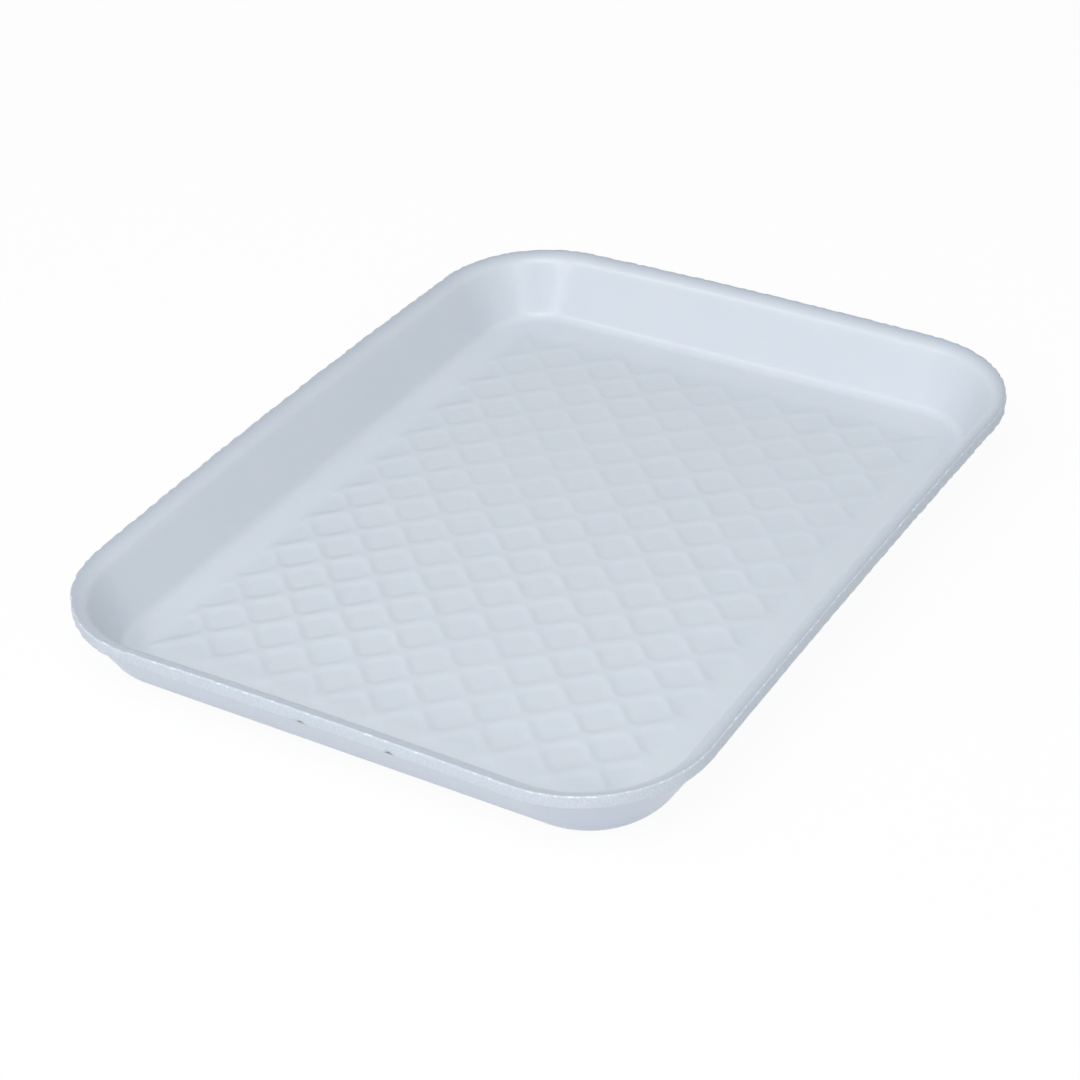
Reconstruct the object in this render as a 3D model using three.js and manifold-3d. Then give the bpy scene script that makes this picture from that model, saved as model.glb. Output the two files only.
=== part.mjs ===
// Shallow foam tray, thermoformed from one sheet, with a flared wall, a rolled lip with a cut
// edge, and a field of raised diagonal ridges on its floor. Millimetres, +Z up, with the long
// side along X and the centre of the tray on the Z axis. It stands on z = 0, on a flat band
// round its underside, and inside that band the floor is crowned a little.
import * as THREE from "three";
import { mergeVertices } from "three/addons/utils/BufferGeometryUtils.js";
import Module from "manifold-3d";

const wasm = await Module();
wasm.setup();

// Outline, over the cut edge of the lip
const length = 235;
const width = 180;
const cornerRadius = 34.2;
const floorCornerRadius = 11;

// Section through the wall
const rimHeight = 20.5; // at the corners, from the table to the top of the lip
const sideArch = 1.4; // how far the middle of a long side rises above the corners
const endArch = 0.7; // and the middle of a short side
const lipFoam = 3.7; // thickness of the foam sheet at the cut edge
const floorFoam = 2.6; // and at the floor, where forming has left it thinner
const wallAngle = THREE.MathUtils.degToRad(62); // from the floor
const lipRadius = 6; // top face of the lip
const floorRadius = 8; // inside, where the wall meets the floor
const standingBand = 3; // flat band that the tray stands on, inside the wall's bend
const floorCrown = 1.4; // how far the middle of the floor rises above that band

// Raised ridges, which lie at 45 degrees to the sides and leave whole square cells between them
const ridgePitch = 11.75;
const ridgeBase = 3;
const ridgeTop = 1.3;
const ridgeHeight = 0.6;
const ridgeOverrun = 1.2; // past the outermost crossings
const patternMargin = 5; // least plain floor left round the ridges
const ridgeSink = 0.5; // how deep a ridge starts inside the floor, so that the two join
const onUnderside = 0.01; // how near the underside a point counts as part of it

// Steps along curved parts
const cornerSteps = 9;
const sideSteps = 8;
const endSteps = 5;
const bendSteps = 4;
const crownSteps = 5;

// A bend in the section: an arc about a centre, with angles measured from straight up and
// turning inwards. Inset is the distance in from the cut edge.
function bend(inset, z, radius, from, to, steps) {
  return Array.from({ length: steps + 1 }, (_, i) => {
    const angle = from + ((to - from) * i) / steps;
    return { inset: inset + radius * Math.sin(angle), z: z + radius * Math.cos(angle) };
  });
}

// Horizontal run of the wall from the cut edge to where the flat floor starts
function wallRun() {
  const drop = rimHeight - floorFoam - (lipRadius + floorRadius) * (1 - Math.cos(wallAngle));
  return (lipRadius + floorRadius) * Math.sin(wallAngle) + drop / Math.tan(wallAngle);
}

// The closed section from the floor up the inside, over the lip, down the cut edge and back
// under the outside to the flat underside. The outside follows one sheet thickness away.
function section() {
  const run = wallRun();
  const lipCentre = rimHeight - lipRadius;
  const floorCentre = floorFoam + floorRadius;
  const down = Math.PI;
  const inside = [
    ...bend(run, floorCentre, floorRadius, down, down + wallAngle, bendSteps),
    ...bend(0, lipCentre, lipRadius, wallAngle, 0, bendSteps),
  ];
  const outside = [
    ...bend(0, lipCentre, lipRadius - lipFoam, 0, wallAngle, bendSteps / 2),
    ...bend(run, floorCentre, floorRadius + floorFoam, down + wallAngle, down, bendSteps),
  ];
  return [...inside, ...outside];
}

// One ring of the tray: a rounded rectangle at an inset from the cut edge. The corner radius
// shrinks from the lip to the floor, and the sides arch up in proportion to the height.
function ring({ inset, z }) {
  const x = length / 2 - inset;
  const y = width / 2 - inset;
  const shrink = (cornerRadius - floorCornerRadius) / wallRun();
  const radius = cornerRadius - shrink * inset;
  const lift = Math.max(0, (z - floorFoam) / (rimHeight - floorFoam));
  const points = [];
  for (let quarter = 0; quarter < 4; quarter++) {
    const start = (quarter * Math.PI) / 2;
    const centre = new THREE.Vector2(
      (quarter === 0 || quarter === 3 ? 1 : -1) * (x - radius),
      (quarter < 2 ? 1 : -1) * (y - radius),
    );
    for (let i = 0; i <= cornerSteps; i++) {
      const angle = start + ((Math.PI / 2) * i) / cornerSteps;
      points.push(new THREE.Vector2(Math.cos(angle), Math.sin(angle)).multiplyScalar(radius).add(centre));
    }
    const steps = quarter % 2 === 0 ? sideSteps : endSteps;
    const from = points[points.length - 1];
    const to = quarter % 2 === 0
      ? new THREE.Vector2(-from.x, from.y)
      : new THREE.Vector2(from.x, -from.y);
    for (let i = 1; i < steps; i++) {
      points.push(from.clone().lerp(to, i / steps));
    }
  }
  return points.map((p) => {
    const alongSide = 1 - Math.min(1, Math.abs(p.x) / (x - radius)) ** 2;
    const alongEnd = 1 - Math.min(1, Math.abs(p.y) / (y - radius)) ** 2;
    const arch = sideArch * alongSide + endArch * alongEnd;
    return new THREE.Vector3(p.x, p.y, z + lift * arch);
  });
}

// How far the crown lifts the floor at a place: a low dome that ends at the standing band
function crown(x, y) {
  const edge = wallRun() + standingBand;
  const along = 1 - (x / (length / 2 - edge)) ** 2;
  const across = 1 - (y / (width / 2 - edge)) ** 2;
  return floorCrown * Math.max(0, along) * Math.max(0, across);
}

// Rings under the floor, from the inner edge of the standing band towards the middle
function underside() {
  const band = ring({ inset: wallRun() + standingBand, z: 0 });
  return Array.from({ length: crownSteps }, (_, i) => {
    const share = 1 - i / crownSteps;
    return band.map((p) => {
      const x = p.x * share;
      const y = p.y * share;
      return new THREE.Vector3(x, y, crown(x, y));
    });
  });
}

// The sheet: rings joined one to the next, with a fan over the floor and one under it. The top
// of the floor stays flat here, until the ridges are on it.
function sheet() {
  const rings = [...section().map(ring), ...underside()];
  const count = rings[0].length;
  const last = rings.length - 1;
  const points = rings.flat();
  points.push(new THREE.Vector3(0, 0, floorFoam), new THREE.Vector3(0, 0, crown(0, 0)));
  const top = points.length - 2;
  const under = points.length - 1;
  const faces = [];
  for (let i = 0; i < count; i++) {
    const next = (i + 1) % count;
    for (let k = 0; k < last; k++) {
      const a = k * count;
      const b = (k + 1) * count;
      faces.push(a + i, b + i, b + next, a + i, b + next, a + next);
    }
    faces.push(top, i, next);
    faces.push(under, last * count + next, last * count + i);
  }
  const geometry = new THREE.BufferGeometry().setFromPoints(points);
  geometry.setIndex(faces);
  return geometry;
}

// Half size of the field of ridges, in whole cells along each side of the flat floor
function patternHalf() {
  const cell = ridgePitch * Math.SQRT2;
  const fit = (side) => Math.floor((side - 2 * wallRun() - 2 * patternMargin) / cell);
  return new THREE.Vector2((fit(length) * cell) / 2, (fit(width) * cell) / 2);
}

// One straight ridge along X, at a distance from the middle of the floor
function ridge(reach, offset) {
  const outline = new THREE.Shape([
    new THREE.Vector2(-ridgeBase / 2, -ridgeSink),
    new THREE.Vector2(ridgeBase / 2, -ridgeSink),
    new THREE.Vector2(ridgeBase / 2, 0),
    new THREE.Vector2(ridgeTop / 2, ridgeHeight),
    new THREE.Vector2(-ridgeTop / 2, ridgeHeight),
    new THREE.Vector2(-ridgeBase / 2, 0),
  ]);
  const geometry = new THREE.ExtrudeGeometry(outline, { depth: 2 * reach, bevelEnabled: false });
  geometry.translate(0, 0, -reach);
  geometry.rotateX(Math.PI / 2).rotateZ(Math.PI / 2);
  geometry.translate(0, offset, floorFoam);
  return geometry;
}

function solid(geometry) {
  geometry.deleteAttribute("normal");
  geometry.deleteAttribute("uv");
  const merged = mergeVertices(geometry, 1e-4);
  return new wasm.Manifold(new wasm.Mesh({
    numProp: 3,
    vertProperties: new Float32Array(merged.attributes.position.array),
    triVerts: new Uint32Array(merged.index.array),
  }));
}

// All the ridges, in both diagonal directions, trimmed to the field
function ridges() {
  const half = patternHalf();
  const reach = half.x + half.y;
  const lines = Math.round((half.x + half.y) / (ridgePitch * Math.SQRT1_2)) - 1;
  let field = null;
  for (const turn of [Math.PI / 4, -Math.PI / 4]) {
    for (let i = 0; i < lines; i++) {
      const one = solid(ridge(reach, (i - (lines - 1) / 2) * ridgePitch).rotateZ(turn));
      field = field ? field.add(one) : one;
    }
  }
  const trim = new THREE.BoxGeometry(
    2 * (half.x + ridgeOverrun),
    2 * (half.y + ridgeOverrun),
    2 * (floorFoam + ridgeHeight + ridgeSink),
  );
  return field.intersect(solid(trim));
}

// The underside follows the crown already, and here the floor and its ridges are lifted to it
function tray() {
  const { vertProperties, triVerts } = solid(sheet()).add(ridges()).getMesh();
  const geometry = new THREE.BufferGeometry();
  geometry.setAttribute("position", new THREE.BufferAttribute(vertProperties, 3));
  geometry.setIndex(new THREE.BufferAttribute(triVerts, 1));
  const place = geometry.attributes.position;
  for (let i = 0; i < place.count; i++) {
    const z = place.getZ(i);
    const rise = crown(place.getX(i), place.getY(i));
    if (Math.abs(z - rise) > onUnderside) {
      place.setZ(i, z + rise);
    }
  }
  geometry.computeVertexNormals();
  const material = new THREE.MeshStandardMaterial({ color: 0xe9edf1, roughness: 0.6, metalness: 0 });
  const mesh = new THREE.Mesh(geometry, material);
  mesh.name = "tray";
  return mesh;
}

const group = new THREE.Group();
group.add(tray());

export default group;
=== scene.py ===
import math

import bpy
import numpy as np
from mathutils import Matrix, Vector


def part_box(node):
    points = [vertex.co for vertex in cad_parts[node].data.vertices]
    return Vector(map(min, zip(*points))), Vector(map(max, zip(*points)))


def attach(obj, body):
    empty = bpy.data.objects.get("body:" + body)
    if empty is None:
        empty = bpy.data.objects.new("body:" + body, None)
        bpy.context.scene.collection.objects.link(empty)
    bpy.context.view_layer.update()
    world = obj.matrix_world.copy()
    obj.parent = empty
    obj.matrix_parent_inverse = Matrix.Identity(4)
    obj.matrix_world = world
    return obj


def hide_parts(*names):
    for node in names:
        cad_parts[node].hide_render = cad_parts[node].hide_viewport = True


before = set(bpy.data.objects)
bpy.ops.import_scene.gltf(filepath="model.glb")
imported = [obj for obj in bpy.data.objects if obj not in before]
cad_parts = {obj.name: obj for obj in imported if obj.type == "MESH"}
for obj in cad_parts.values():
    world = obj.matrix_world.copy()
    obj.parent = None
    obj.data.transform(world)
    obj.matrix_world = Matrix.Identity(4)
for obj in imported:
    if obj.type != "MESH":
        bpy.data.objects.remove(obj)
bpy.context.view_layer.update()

mm = 0.001
low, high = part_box("tray")

# The tray's form, in mm and degrees. The outline comes from the frame.
trayForm = {
    "length": (high.x - low.x) / mm,
    "width": (high.y - low.y) / mm,
    "cornerRadius": 34.2,
    "floorCornerRadius": 11.0,
    "rimHeight": 20.5,  # at the corners
    "sideArch": 1.4,  # more at the middle of a long side
    "endArch": 0.7,  # and of a short side
    "lipFoam": 3.7,
    "floorFoam": 2.6,
    "wallAngle": 62.0,
    "lipRadius": 6.0,
    "floorRadius": 8.0,  # outside, less the sheet
    "innerRadius": 4.2,  # where the wall meets the floor inside
    "standingBand": 3.0,
    "floorCrown": 1.4,
    "edgeSoftness": 0.35,  # the small round at the cut edge's two corners
}

# The raised ridges, which lie at 45 degrees to the sides, in mm. Offsets are the grid lines beside
# each ridge, close together on its slopes.
ridgeForm = {
    "pitch": 11.75,
    "cells": (11, 8),
    "base": 5.4,
    "height": 0.56,
    "cellRound": 1.0,  # how far the corners of a cell are rounded
    "secondShare": 0.88,  # slope of the ridges along the other diagonal, which are softer
    "runOn": -0.6,  # past the outermost crossings, and then they fade
    "fade": 3.6,
    "uneven": 0.25,  # share of the height that comes and goes over the field
    "swell": ((23, 0.7), (17, -0.4), (11, 0.5)),  # its length and phase each way, then one across
    "farShare": 0.5,  # height at the +X end, where the mould has pressed less
    "darkerField": 0.3,  # how far the ridged field's colour goes towards its darker one
    "darkerFieldFade": 6.0,
    "darkerFieldInside": 0.4,  # share of that fade that lies inside the field
    "offsets": (0, 0.5, 1.0, 1.5, 2.05, 2.75, 3.6, 4.7),
}

# The cut edge of the lip, in mm. It is most ragged on the +X and +Y sides. The nicks are in the
# lower corner of the -X end: place along Y, half width and depth.
edgeForm = {
    "rough": 0.42,
    "leastRough": 0.2,  # share of that on the other two sides
    "farStart": 0.8,  # how soon round the rim the ragged sides begin
    "roughReach": 3.0,  # how far in from the edge the unevenness dies out
    "waveGain": 1.6,  # this makes the waves steeper, and the next leaves some of the edge even
    "waveFloor": 0.3,
    "slant": 0.25,  # how far the waves lean along the edge for each mm of height
    "waves": ((1.5, 0.25), (2.9, 0.7), (4.7, 0.9), (7.9, 0.6), (23.0, 0.5)),  # length and weight
    "ragged": 0.16,  # how much lower the torn top is in places
    "raggedDepth": 1.5,  # how far down the cut face that reaches
    "burrDepth": 0.185,  # and how far down the pale burr, partly a painted highlight, does
    "nicks": ((2.6, 0.8, 0.9), (-22.5, 0.8, 0.9)),
    "nickTop": 2.4,  # below the top of the lip, where they begin
    "nickRise": 1.3,  # the height over which they deepen
    "darkReach": 4.4,  # how far in from the edge the lip's painted shade reaches
    "seed": 11,
}

# Rows of points: shares of the way over the plain margin, then the steps along each stretch of
# the section and under the floor
meshRows = {
    "margin": (0.06, 0.12, 0.18, 0.25, 0.33, 0.44, 0.6, 0.8, 1),
    "floorBend": 9,
    "wall": 6,
    "lip": 8,
    "edgeRound": 3,
    "cutFace": 6,
    "lipUnder": 4,
    "outerWall": 5,
    "underside": 10,
}


# A smooth step from 0 to 1, level at both ends: three t squared less two t cubed
def smooth(t):
    t = np.clip(t, 0, 1)
    return t * t * (3 - 2 * t)


# Horizontal run of the wall, from the cut edge to the flat floor, for a radius of the floor's bend
def wallRun(form, bendRadius="floorRadius"):
    angle = math.radians(form["wallAngle"])
    bends = form["lipRadius"] + form[bendRadius]
    drop = form["rimHeight"] - form["floorFoam"] - bends * (1 - math.cos(angle))
    return bends * math.sin(angle) + drop / math.tan(angle)


# A rounded rectangle at an inset from the cut edge, whose corners tighten towards the floor.
# Each side runs from the middle of one corner to the middle of the next, and along is the share
# of that way: an eighth of a circle, a straight stretch and another eighth.
def outline(form, inset, side, along):
    radius = form["cornerRadius"] - inset * (
        form["cornerRadius"] - form["floorCornerRadius"]) / wallRun(form)
    isEnd = side % 2 == 0
    reach = np.where(isEnd, form["length"], form["width"]) / 2 - inset
    half = np.where(isEnd, form["width"], form["length"]) / 2 - inset
    straight = half - radius
    eighth = radius * math.pi / 4
    total = 2 * (straight + eighth)
    way = along * total
    first = way < eighth
    last = way > total - eighth
    angle = np.where(first, way / radius - math.pi / 4, 0)
    angle = np.where(last, (way - total + eighth) / radius, angle)
    across = np.where(first, -straight, np.where(last, straight, way - eighth - straight))
    across = across + radius * np.sin(angle)
    out = reach - radius + radius * np.cos(angle)
    turn = side * math.pi / 2
    x = out * np.cos(turn) - across * np.sin(turn)
    y = out * np.sin(turn) + across * np.cos(turn)
    return x, y, radius


# The sides arch up from the corners by a parabola, in proportion to the height
def arched(form, inset, x, y, radius, z):
    lift = np.maximum(0, (z - form["floorFoam"]) / (form["rimHeight"] - form["floorFoam"]))
    alongSide = 1 - np.minimum(1, np.abs(x) / (form["length"] / 2 - inset - radius)) ** 2
    alongEnd = 1 - np.minimum(1, np.abs(y) / (form["width"] / 2 - inset - radius)) ** 2
    return z + lift * (form["sideArch"] * alongSide + form["endArch"] * alongEnd)


# A low dome over the floor, which is a parabola each way and ends at the standing band
def crown(form, x, y):
    edge = wallRun(form) + form["standingBand"]
    along = 1 - (x / (form["length"] / 2 - edge)) ** 2
    across = 1 - (y / (form["width"] / 2 - edge)) ** 2
    return form["floorCrown"] * np.maximum(0, along) * np.maximum(0, across)


# Half sizes of the field of ridges, which holds whole cells each way, corner to corner
def fieldHalf(form):
    half = form["pitch"] / math.sqrt(2)
    return form["cells"][0] * half, form["cells"][1] * half


# How far a place lies outside the field, and less than 0 inside it
def pastField(form, x, y):
    halfX, halfY = fieldHalf(form)
    return np.maximum(np.abs(x) - halfX, np.abs(y) - halfY)


# Height of the ridges: each cell is a square with rounded corners, and the rise is a smooth step
# of the distance outside it. Past the field the lines run on a little and fade.
def ridgeRise(form, x, y):
    pitch = form["pitch"]
    lines = sum(form["cells"]) - 1
    flat = (pitch - form["base"]) / 2 - form["cellRound"]
    gaps = []
    for place, share in (((x + y) / math.sqrt(2) / pitch, 1),
                         ((y - x) / math.sqrt(2) / pitch, form["secondShare"])):
        fromCell = np.abs(place - np.round(place)) * pitch
        gap = np.maximum(0, fromCell - flat) * share
        gaps.append(np.where(np.abs(place) < lines / 2, gap, 0))
    outside = np.hypot(*gaps) - form["cellRound"]
    rise = smooth(outside * 2 / form["base"])
    fade = 1 - smooth((pastField(form, x, y) - form["runOn"]) / form["fade"])
    (lengthX, phaseX), (lengthY, phaseY), (lengthAcross, shareAcross) = form["swell"]
    swell = np.sin(x / lengthX + phaseX) * np.sin(y / lengthY + phaseY)
    swell = swell + shareAcross * np.sin((x - y) / lengthAcross)
    uneven = 1 - form["uneven"] * (0.5 + 0.5 * swell)
    lower = 1 - (1 - form["farShare"]) * smooth(x / fieldHalf(form)[0] / 2 + 0.5)
    return form["height"] * rise * fade * lower * uneven


def floorTop(x, y):
    return trayForm["floorFoam"] + crown(trayForm, x, y) + ridgeRise(ridgeForm, x, y)


# The field of ridges as a grid turned by 45 degrees, with its lines along the ridges, trimmed to
# a rectangle whose edges run through the grid's points
def ridgeGrid(form):
    offsets = np.array(form["offsets"])
    lines = np.concatenate([-offsets[:0:-1], offsets, [form["pitch"] / 2]])
    reach = sum(form["cells"]) // 2 + 1
    places = (np.arange(-reach, reach)[:, None] + 0.5 + lines / form["pitch"]).ravel()
    u, v = np.meshgrid(places, places, indexing="ij")
    along, across = u - v, u + v
    near = 1e-6
    inside = (np.abs(along) < form["cells"][0] + near) & (np.abs(across) < form["cells"][1] + near)
    index = np.full(u.shape, -1)
    index[inside] = np.arange(inside.sum())
    corners = [index[:-1, :-1], index[1:, :-1], index[1:, 1:], index[:-1, 1:]]
    corners = np.stack([c.ravel() for c in corners], axis=1)
    missing = (corners < 0).sum(axis=1)
    faces = corners[missing == 0].tolist()
    cut = corners[missing == 1]
    faces += cut[cut >= 0].reshape(-1, 3).tolist()
    half = form["pitch"] / math.sqrt(2)
    return along[inside] * half, across[inside] * half, faces


# The grid's points on the rectangle's edge, in order round it from the middle of one corner
def ridgeEdge(form, x, y):
    halfX, halfY = fieldHalf(form)
    near = 1e-3
    index, side, along = [], [], []
    for turn, (out, across, far, wide) in enumerate((
            (x, y, halfX, halfY), (y, -x, halfY, halfX),
            (-x, -y, halfX, halfY), (-y, x, halfY, halfX))):
        here = np.nonzero(np.abs(out - far) < near)[0]
        here = here[np.argsort(across[here])][:-1]
        index.append(here)
        side.append(np.full(len(here), turn))
        along.append((across[here] + wide) / 2 / wide)
    return np.concatenate(index), np.concatenate(side), np.concatenate(along)


# Points on a circle, with the angle from straight up and turning inwards
def bend(inset, z, radius, start, end, steps):
    angle = np.radians(np.linspace(start, end, steps + 1))
    return np.column_stack([inset + radius * np.sin(angle), z + radius * np.cos(angle)])


# The points between two ends, without the ends
def straightTo(start, end, steps):
    share = np.linspace(0, 1, steps + 1)[1:-1, None]
    return start + (end - start) * share


# The section from the floor's edge up the inside, over the lip, down the cut edge and back under
# the outside to the standing band. The last two columns are 1 on the cut face and on the outside.
def section(form, rows):
    run = wallRun(form)
    angle = form["wallAngle"]
    soft = form["edgeSoftness"]
    top = form["rimHeight"]
    bottom = top - form["lipFoam"]
    lipCentre = top - form["lipRadius"]
    floorCentre = form["floorFoam"] + form["floorRadius"]
    under = form["lipRadius"] - form["lipFoam"]
    start = math.degrees(math.asin(soft / form["lipRadius"]))
    back = math.degrees(math.asin(soft / under))
    inner = form["innerRadius"]
    floorBend = bend(wallRun(form, "innerRadius"), form["floorFoam"] + inner, inner,
                     180, 180 + angle, rows["floorBend"])
    lip = bend(0, lipCentre, form["lipRadius"], angle, start, rows["lip"])
    topRound = bend(soft, top - soft, soft, 0, -90, rows["edgeRound"])
    lowRound = bend(soft, bottom + soft, soft, -90, -180, rows["edgeRound"])
    lipUnder = bend(0, lipCentre, under, back, angle, rows["lipUnder"])
    outerBend = bend(run, floorCentre, form["floorRadius"] + form["floorFoam"],
                     180 + angle, 180, rows["floorBend"])
    band = np.array([[run + form["standingBand"] / 2, 0], [run + form["standingBand"], 0]])
    wall = straightTo(floorBend[-1], lip[0], rows["wall"])
    cutFace = straightTo(topRound[-1], lowRound[0], rows["cutFace"])
    outerWall = straightTo(lipUnder[-1], outerBend[0], rows["outerWall"])
    parts = [
        (floorBend[1:], 0, 0), (wall, 0, 0), (lip, 0, 0),
        (topRound[1:], 1, 0), (cutFace, 1, 0), (lowRound[:-1], 1, 0),
        (lipUnder, 0, 1), (outerWall, 0, 1), (outerBend, 0, 1), (band, 0, 1),
    ]
    return np.vstack([np.column_stack([p, np.full((len(p), 2), marks)]) for p, *marks in parts])


# Unevenness along the cut edge: a sum of sine waves of several lengths with seeded phases
def unevenness(form, way, rng):
    total = np.zeros_like(way)
    for length, weight in form["waves"]:
        total += weight * np.sin(2 * math.pi * (way / length + rng.random()))
    return np.clip(total / sum(w for _, w in form["waves"]) + 0.5, 0, 1)


# The rings with an uneven cut edge: waves push it in, its top is torn lower in places, and the
# nicks take some of its lower corner. A point moves in by its depth times a mm of inset.
def roughened(form, edge, rows, side, along, x, y, height):
    inset, z, cut = (rows[:, k, None] for k in range(3))
    innerX, innerY, _ = outline(form, inset + 1, side, along)
    rimX, rimY, _ = outline(form, 0, side, along)
    step = np.hypot(np.diff(rimX, prepend=rimX[-1]), np.diff(rimY, prepend=rimY[-1]))
    way = np.cumsum(step)
    rng = np.random.default_rng(edge["seed"])
    far = smooth(edge["farStart"] + rimX / form["length"] + rimY / form["width"])
    far = edge["leastRough"] + (1 - edge["leastRough"]) * far
    wave = unevenness(edge, way + edge["slant"] * z, rng)
    near = np.clip(1 - inset / edge["roughReach"], 0, 1) * (z > form["rimHeight"] / 2)
    depth = near * far * edge["rough"] * smooth(edge["waveGain"] * wave - edge["waveFloor"])
    below = smooth((form["rimHeight"] - edge["nickTop"] - z) / edge["nickRise"])
    for place, wide, deep in edge["nicks"]:
        notch = np.exp(-((y - place) / wide) ** 4) * (x < 0)
        depth = depth + deep * notch * cut * below
    torn = cut * edge["ragged"] * unevenness(edge, way, rng)
    torn = torn * (z > form["rimHeight"] - edge["raggedDepth"])
    return x + (innerX - x) * depth, y + (innerY - y) * depth, height - torn


# Adds a value for each point of a mesh, which its material reads
def addAttribute(mesh, name, values):
    mesh.attributes.new(name, "FLOAT", "POINT").data.foreach_set(
        "value", np.concatenate(values).astype(np.float32))


def addObject(name, data):
    made = bpy.data.objects.new(name, data)
    bpy.context.scene.collection.objects.link(made)
    return made


def buildTray(form):
    x, y, faces = ridgeGrid(ridgeForm)
    edge, side, along = ridgeEdge(ridgeForm, x, y)

    # The plain margin, from the field's edge to where the wall starts
    share = np.array(meshRows["margin"])[:, None]
    wallX, wallY, _ = outline(form, wallRun(form, "innerRadius"), side, along)
    marginX = x[edge] + (wallX - x[edge]) * share
    marginY = y[edge] + (wallY - y[edge]) * share

    # The wall, lip, cut edge and outside
    rows = section(form, meshRows)
    inset, z, cut, outer = (rows[:, k, None] for k in range(4))
    ringX, ringY, radius = outline(form, inset, side, along)
    ringZ = arched(form, inset, ringX, ringY, radius, z)
    ringX, ringY, ringZ = roughened(form, edgeForm, rows, side, along, ringX, ringY, ringZ)

    # The crowned underside, in rings that shrink to a point in the middle
    shrink = np.linspace(1, 0, meshRows["underside"])[1:-1, None]
    underX, underY = ringX[-1] * shrink, ringY[-1] * shrink
    middle = np.zeros(1)
    stretches = [
        (x, y, floorTop(x, y)), (marginX, marginY, floorTop(marginX, marginY)),
        (ringX, ringY, ringZ), (underX, underY, crown(form, underX, underY)),
        (middle, middle, crown(form, middle, middle)),
    ]
    points = np.vstack([np.stack(s, axis=-1).reshape(-1, 3) for s in stretches])

    # Each ring is joined to the next, from the field's edge on, and the last to the middle
    count = len(edge)
    rings = len(share) + len(rows) + len(shrink)
    ringIndex = len(x) + np.arange(rings * count).reshape(rings, count)
    ringIndex = np.vstack([edge, ringIndex])
    nextIndex = np.roll(ringIndex, -1, axis=1)
    quads = np.stack([ringIndex[:-1], ringIndex[1:], nextIndex[1:], nextIndex[:-1]], axis=-1)
    fan = np.column_stack([ringIndex[-1], np.full(count, len(points) - 1), nextIndex[-1]])
    faces += quads.reshape(-1, 4).tolist() + fan.tolist()
    mesh = bpy.data.meshes.new("foamTray")
    mesh.from_pydata((points * mm).tolist(), [], faces)

    # What the material reads: the cut face, the lip beside it for its painted shade, the burr,
    # which is partly a painted highlight, the outside for its painted shade, and the darker ridged
    # field
    onLip = (1 - cut) * (1 - outer) * (z > form["rimHeight"] / 2)
    # Painted shade on the lip, darkest at the cut edge and gone by darkReach in from it
    edgeShade = onLip * np.clip(1 - inset / edgeForm["darkReach"], 0, 1)
    # The pale burr along the top of the cut face, partly a painted highlight on that edge
    burrAndHighlight = cut * (z > form["rimHeight"] - edgeForm["burrDepth"])
    floorCount, underCount = len(x) + marginX.size, underX.size + 1
    for name, marks, under in (("cutFace", cut, 0), ("paintedEdgeShade", edgeShade, 0), ("burrAndHighlight", burrAndHighlight, 0),
                               ("outside", outer, 1)):
        marks = np.broadcast_to(marks, ringX.shape).ravel()
        addAttribute(mesh, name, [np.zeros(floorCount), marks, np.full(underCount, under)])
    # The ridged field is a little darker, and this fades out past its edge
    past = pastField(ridgeForm, points[:, 0], points[:, 1])
    fade = smooth(past / ridgeForm["darkerFieldFade"] + ridgeForm["darkerFieldInside"])
    addAttribute(mesh, "darkerField", [ridgeForm["darkerField"] * (1 - fade)])

    mesh.polygons.foreach_set("use_smooth", np.ones(len(mesh.polygons), bool))
    mesh.update()
    return addObject("foamTray", mesh)


# sRGB hex to linear colour
def hexColour(code):
    parts = [int(code[k:k + 2], 16) / 255 for k in (1, 3, 5)]
    return [c / 12.92 if c <= 0.04045 else ((c + 0.055) / 1.055) ** 2.4 for c in parts] + [1]


# Adds a node, sets its properties, then its inputs by a value or by another node's output
def addNode(tree, kind, settings=None, inputs=None):
    node = tree.nodes.new(kind)
    for name, value in (settings or {}).items():
        setattr(node, name, value)
    for name, value in (inputs or {}).items():
        if isinstance(value, bpy.types.NodeSocket):
            tree.links.new(value, node.inputs[name])
        else:
            node.inputs[name].default_value = value
    return node


# Extruded polystyrene foam, thermoformed: the skin is a satin with a faint orange peel from the
# cells under it. The punched edge is rougher and speckled with open cells, with a pale burr in
# places along its top, which is partly a painted highlight on that edge. The ridged field is a
# little darker. The lip beside the edge has a painted shade, darker and bluer, and so does the
# outside of the wall. Lengths are in mm. A range is where in its noise one colour gives way to
# the other.
foamLook = {
    "skin": "#D3DAE2",
    "skinDark": "#CED6DF",
    # The darker colour of the ridged field
    "darkerField": "#BFC8D2",
    # Painted shade on the lip beside the cut edge
    "paintedEdgeShade": "#A9B5C3",
    # Painted shade, a little bluer, on the outside of the wall and under the lip
    "outside": "#C1CBD9",
    "cutEdge": "#CDD6DF",
    "cutDark": "#C3CDD8",
    # Pale burr, partly a painted highlight on the cut face's top edge
    "burrAndHighlight": "#E4EBF2",
    "ior": 1.5,
    "specular": 0.5,
    "roughness": 0.31,
    "cutRoughness": 0.85,
    "noises": {"mottle": (22.0, 3.0), "crumb": (0.5, 4.0), "burrAndHighlight": (1.6, 5.0)},  # length, detail
    "crumbRange": (0.42, 0.62),
    "crumbDepth": 0.05,
    "burrRange": (0.54, 0.64),
    "cells": 0.9,  # drawn coarser than real cells so that they show
    "cellDepth": 0.012,
    "subsurface": 0.12,
    "subsurfaceReach": 2.5,
}


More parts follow.
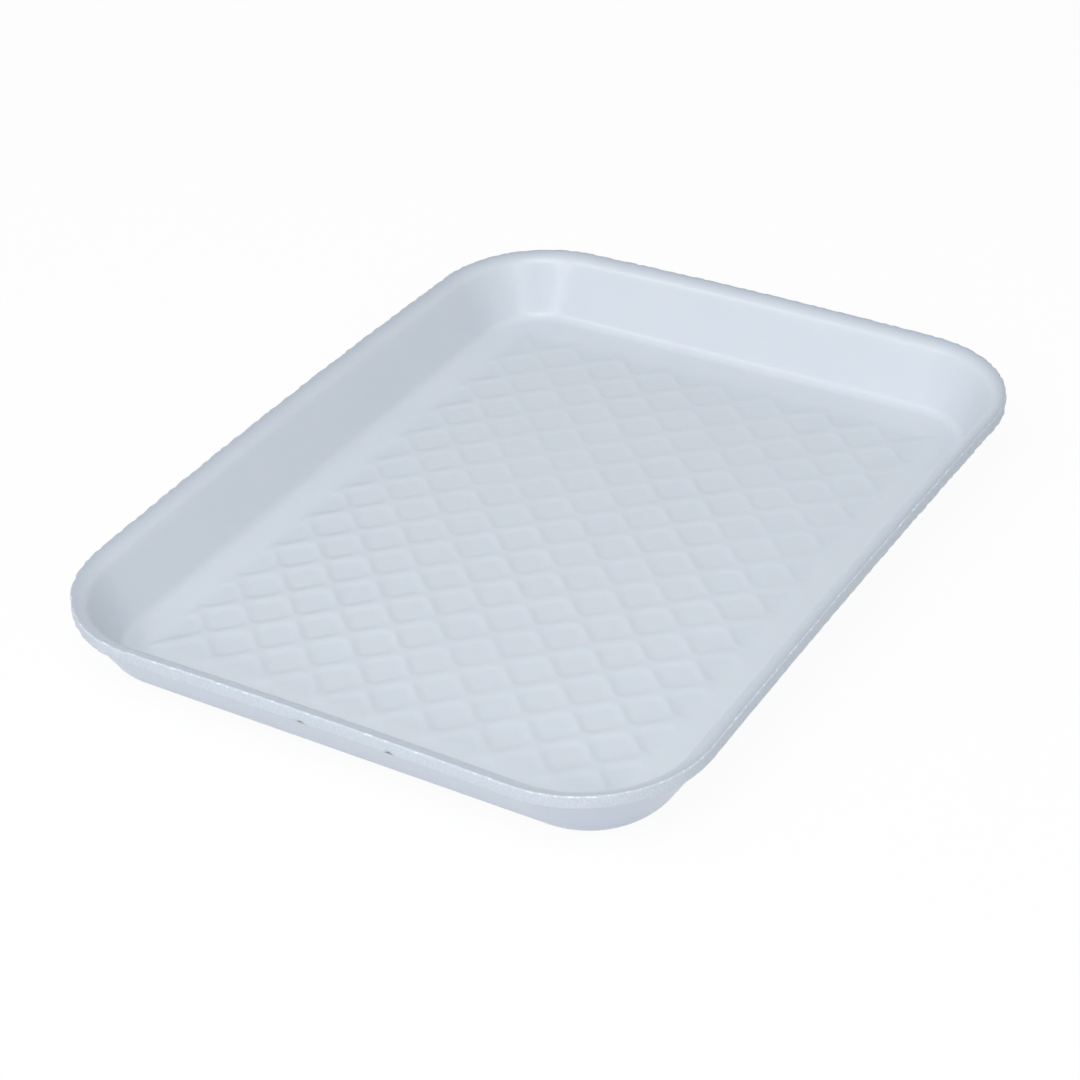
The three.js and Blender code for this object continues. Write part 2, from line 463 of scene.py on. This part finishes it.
def foamMaterial(look):
    material = bpy.data.materials.new("thermoformedPolystyreneFoam")
    material.use_nodes = True
    tree = material.node_tree
    tree.nodes.clear()
    place = addNode(tree, "ShaderNodeTexCoord").outputs["Object"]
    on = {}
    for name in ("cutFace", "darkerField", "paintedEdgeShade", "outside", "burrAndHighlight"):
        on[name] = addNode(tree, "ShaderNodeAttribute", {"attribute_name": name}).outputs["Fac"]
    noise = {}
    for name, (length, detail) in look["noises"].items():
        noise[name] = addNode(tree, "ShaderNodeTexNoise", inputs={
            "Vector": place, "Scale": 1 / (length * mm), "Detail": detail}).outputs["Fac"]

    speckle = addNode(tree, "ShaderNodeMapRange", inputs={
        "Value": noise["crumb"], "From Min": look["crumbRange"][0],
        "From Max": look["crumbRange"][1]})
    cutColour = addNode(tree, "ShaderNodeMix", {"data_type": "RGBA"}, {
        "Factor": speckle.outputs["Result"], "A": hexColour(look["cutDark"]),
        "B": hexColour(look["cutEdge"])})
    # Patches of the pale burr, partly a painted highlight, along the top of the cut face
    burrAndHighlightPatch = addNode(tree, "ShaderNodeMapRange", inputs={
        "Value": noise["burrAndHighlight"], "From Min": look["burrRange"][0],
        "From Max": look["burrRange"][1], "To Max": on["burrAndHighlight"]})

    # Each colour is laid over the ones before it, by its share at the place
    colour = hexColour(look["skin"])
    for share, over in (
            (noise["mottle"], hexColour(look["skinDark"])),
            (on["darkerField"], hexColour(look["darkerField"])),
            # Painted shade on the lip beside the cut edge
            (on["paintedEdgeShade"], hexColour(look["paintedEdgeShade"])),
            # Painted shade on the outside of the wall and under the lip
            (on["outside"], hexColour(look["outside"])),
            (on["cutFace"], cutColour.outputs[2]),
            # The pale burr, partly a painted highlight on the cut face's top edge
            (burrAndHighlightPatch.outputs["Result"], hexColour(look["burrAndHighlight"]))):
        colour = addNode(tree, "ShaderNodeMix", {"data_type": "RGBA"}, {
            "Factor": share, "A": colour, "B": over}).outputs[2]

    rough = addNode(tree, "ShaderNodeMapRange", inputs={
        "Value": on["cutFace"], "To Min": look["roughness"], "To Max": look["cutRoughness"]})
    cells = addNode(tree, "ShaderNodeTexVoronoi", inputs={
        "Vector": place, "Scale": 1 / (look["cells"] * mm)})
    peel = addNode(tree, "ShaderNodeBump", inputs={
        "Height": cells.outputs["Distance"], "Distance": look["cellDepth"] * mm, "Strength": 1.0})
    crumbly = addNode(tree, "ShaderNodeBump", inputs={
        "Height": noise["crumb"], "Distance": look["crumbDepth"] * mm,
        "Strength": on["cutFace"], "Normal": peel.outputs["Normal"]})
    shader = addNode(tree, "ShaderNodeBsdfPrincipled", inputs={
        "Base Color": colour, "Roughness": rough.outputs["Result"],
        "Normal": crumbly.outputs["Normal"], "IOR": look["ior"],
        "Specular IOR Level": look["specular"],
        "Subsurface Weight": look["subsurface"],
        "Subsurface Scale": look["subsurfaceReach"] * mm})
    addNode(tree, "ShaderNodeOutputMaterial", inputs={"Surface": shader.outputs["BSDF"]})
    return material


# The stage: sizes in metres, levels as shares of full white. A lamp has its azimuth and elevation
# in degrees, its distance, width and height, and the share that it gives a level surface: two
# narrow softboxes, whose streaks show in the far corner, a nearer one above the camera, and a
# strip that gives the far lip its thin highlight.
stageLook = {
    "floorSize": 8.0,
    "floorGap": 0.0001,
    "floorColour": 0.9,
    "plainShare": 0.94,  # how much of the floor that the camera sees is plain white
    "ambient": 0.5,
    "ambientLean": 0.25,  # how much stronger and weaker it is towards and away from its bright side
    "ambientTowards": (-0.5, 0.85, 0.0),
    "lamps": {
        "softboxRight": (-123.0, 34.0, 1.6, 0.3, 0.6, 0.075),
        "softboxLeft": (175.0, 34.0, 1.6, 0.3, 0.6, 0.075),
        "frontFill": (-158.0, 60.0, 0.85, 0.45, 0.4, 0.28),
        "rimStrip": (137.0, 49.0, 1.6, 0.5, 0.2, 0.07),
    },
}


# The direction with an azimuth and elevation in degrees, one unit long
def direction(azimuth, elevation):
    azimuth, elevation = math.radians(azimuth), math.radians(elevation)
    return Vector((math.cos(elevation) * math.cos(azimuth),
                   math.cos(elevation) * math.sin(azimuth), math.sin(elevation)))


# 1 for camera, glossy and transmission rays, else 0
def seenDirectly(tree):
    path = addNode(tree, "ShaderNodeLightPath")
    first = addNode(tree, "ShaderNodeMath", {"operation": "MAXIMUM"}, {
        0: path.outputs["Is Camera Ray"], 1: path.outputs["Is Glossy Ray"]})
    both = addNode(tree, "ShaderNodeMath", {"operation": "MAXIMUM"}, {
        0: first.outputs[0], 1: path.outputs["Is Transmission Ray"]})
    return both.outputs[0]


def buildFloor(look):
    size = look["floorSize"] / 2
    corners = [(-size, -size), (size, -size), (size, size), (-size, size)]
    mesh = bpy.data.meshes.new("floor")
    mesh.from_pydata([(x, y, -look["floorGap"]) for x, y in corners], [], [(0, 1, 2, 3)])
    material = bpy.data.materials.new("whiteFloor")
    material.use_nodes = True
    tree = material.node_tree
    tree.nodes.clear()
    pale = addNode(tree, "ShaderNodeBsdfDiffuse", inputs={"Color": [look["floorColour"]] * 3 + [1]})
    plain = addNode(tree, "ShaderNodeEmission", inputs={"Color": (1, 1, 1, 1), "Strength": 1.0})
    amount = addNode(tree, "ShaderNodeMath", {"operation": "MULTIPLY"}, {
        0: seenDirectly(tree), 1: look["plainShare"]})
    both = addNode(tree, "ShaderNodeMixShader", inputs={
        "Fac": amount.outputs[0], 1: pale.outputs[0], 2: plain.outputs[0]})
    addNode(tree, "ShaderNodeOutputMaterial", inputs={"Surface": both.outputs[0]})
    mesh.materials.append(material)
    addObject("floor", mesh)


# The ambient light grows evenly from its dim side to its bright side, and the camera sees white
def buildWorld(look):
    world = bpy.data.worlds.new("studio")
    bpy.context.scene.world = world
    world.use_nodes = True
    tree = world.node_tree
    tree.nodes.clear()
    way = addNode(tree, "ShaderNodeTexCoord").outputs["Generated"]
    lean = addNode(tree, "ShaderNodeVectorMath", {"operation": "DOT_PRODUCT"}, {
        0: way, 1: look["ambientTowards"]})
    level = addNode(tree, "ShaderNodeMapRange", inputs={
        "Value": lean.outputs["Value"], "From Min": -1.0, "From Max": 1.0,
        "To Min": look["ambient"] * (1 - look["ambientLean"]),
        "To Max": look["ambient"] * (1 + look["ambientLean"])})
    strength = addNode(tree, "ShaderNodeMapRange", inputs={
        "Value": seenDirectly(tree), "To Min": level.outputs["Result"], "To Max": 1.0})
    sky = addNode(tree, "ShaderNodeBackground", inputs={
        "Color": (1, 1, 1, 1), "Strength": strength.outputs["Result"]})
    addNode(tree, "ShaderNodeOutputWorld", inputs={"Surface": sky.outputs[0]})


def buildLamps(look):
    for name, (azimuth, elevation, distance, wide, tall, level) in look["lamps"].items():
        towards = direction(azimuth, elevation)
        lamp = bpy.data.lights.new(name, "AREA")
        lamp.shape = "RECTANGLE"
        lamp.size, lamp.size_y = wide, tall
        # The power that gives a level surface its share of full white
        lamp.energy = level * math.pi ** 2 * distance ** 2 / towards.z
        holder = addObject(name, lamp)
        holder.location = towards * distance
        holder.rotation_mode = "QUATERNION"
        holder.rotation_quaternion = towards.to_track_quat("Z", "Y")


# The camera: mm and degrees. The azimuth is its own direction from the target, in plan.
cameraView = {
    "target": (-0.83, 6.51, 0.0),
    "distance": 737.5,
    "azimuth": -147.74,
    "elevation": 33.40,
    "roll": -2.61,
    "lens": 90.39,
    "sensor": 36.0,
}


def buildCamera(view):
    back = direction(view["azimuth"], view["elevation"])
    level = (-back).cross(Vector((0, 0, 1))).normalized()
    upright = level.cross(-back)
    roll = math.radians(view["roll"])
    right = level * math.cos(roll) + upright * math.sin(roll)
    up = upright * math.cos(roll) - level * math.sin(roll)
    lens = bpy.data.cameras.new("camera")
    lens.lens = view["lens"]
    lens.sensor_width = view["sensor"]
    camera = addObject("camera", lens)
    camera.matrix_world = Matrix.Translation(
        (Vector(view["target"]) + back * view["distance"]) * mm
    ) @ Matrix((right, up, back)).transposed().to_4x4()
    bpy.context.scene.camera = camera


foamTray = buildTray(trayForm)
foamTray.data.materials.append(foamMaterial(foamLook))
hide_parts("tray")
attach(foamTray, "root")
print("tray:", len(foamTray.data.vertices), "points,", len(foamTray.data.polygons), "faces")

buildFloor(stageLook)
buildWorld(stageLook)
buildLamps(stageLook)
print("floor, world and lamps are set")

buildCamera(cameraView)
bpy.context.scene.view_settings.view_transform = "Standard"
print("camera is set")
